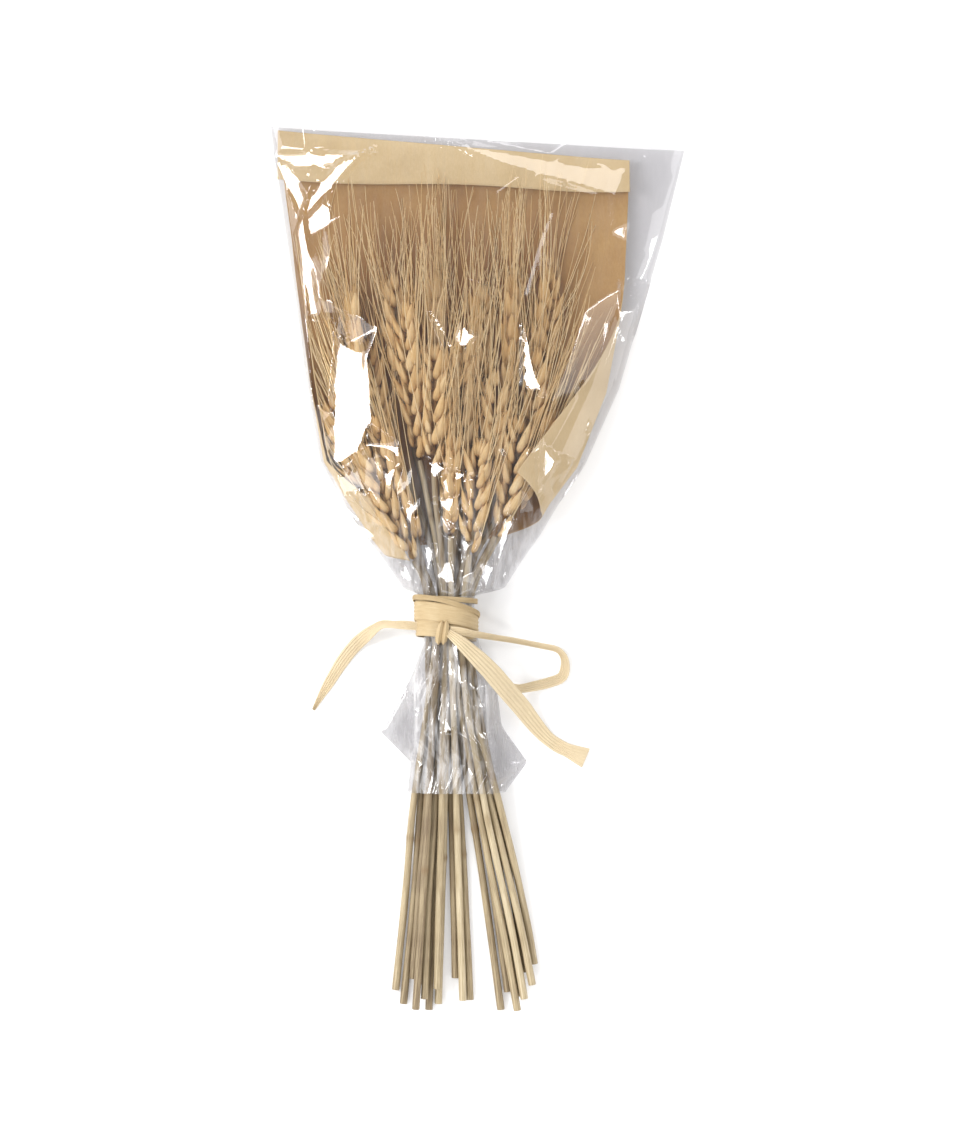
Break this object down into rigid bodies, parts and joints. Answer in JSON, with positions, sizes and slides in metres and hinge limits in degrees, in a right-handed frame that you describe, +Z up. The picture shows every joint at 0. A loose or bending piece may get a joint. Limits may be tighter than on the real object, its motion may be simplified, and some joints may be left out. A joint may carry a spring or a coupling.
{
  "type": "bundle of dried wheat",
  "caption": "Tied bunch of dried bearded wheat lying flat in a tapered clear sleeve with a kraft paper liner and a ribbon bow.",
  "frame": {"origin": "bottom centre of the bounding box, on the surface that the bunch lies on", "axes": "+Y from the cut stem ends to the ears, +X to the right seen from above, +Z up"},
  "size_m": [0.2084, 0.4443, 0.0352],
  "materials": {
    "straw": "smooth dry straw with fine lengthwise lines",
    "chaff": "matt papery husks and awns",
    "kraft_paper": "matt brown wrapping paper",
    "clear_film": "glossy clear film, creased",
    "ribbon": "matt pleated paper raffia"
  },
  "bodies": {
    "root": {"stem_01": "straw", "stem_02": "straw", "stem_03": "straw", "stem_04": "straw", "stem_05": "straw", "stem_06": "straw", "stem_07": "straw", "stem_08": "straw", "stem_09": "straw", "stem_10": "straw", "stem_11": "straw", "stem_12": "straw", "stem_13": "straw", "stem_14": "straw", "stem_15": "straw", "stem_16": "straw", "stem_17": "straw", "stem_18": "straw", "stem_19": "straw", "stem_20": "straw", "ear_01": "chaff", "ear_02": "chaff", "ear_03": "chaff", "ear_04": "chaff", "ear_05": "chaff", "ear_06": "chaff", "ear_07": "chaff", "ear_08": "chaff", "ear_09": "chaff", "ear_10": "chaff", "ear_11": "chaff", "ear_12": "chaff", "ear_13": "chaff", "ear_14": "chaff", "ear_15": "chaff", "ear_16": "chaff", "ear_17": "chaff", "ear_18": "chaff", "ear_19": "chaff", "ear_20": "chaff", "kraft_paper_liner": "kraft_paper", "film_sleeve": "clear_film", "ribbon_band": "ribbon", "ribbon_knot": "ribbon", "ribbon_left_tail": "ribbon", "ribbon_right_tail": "ribbon", "ribbon_loop": "ribbon"}
  },
  "joints": []
}
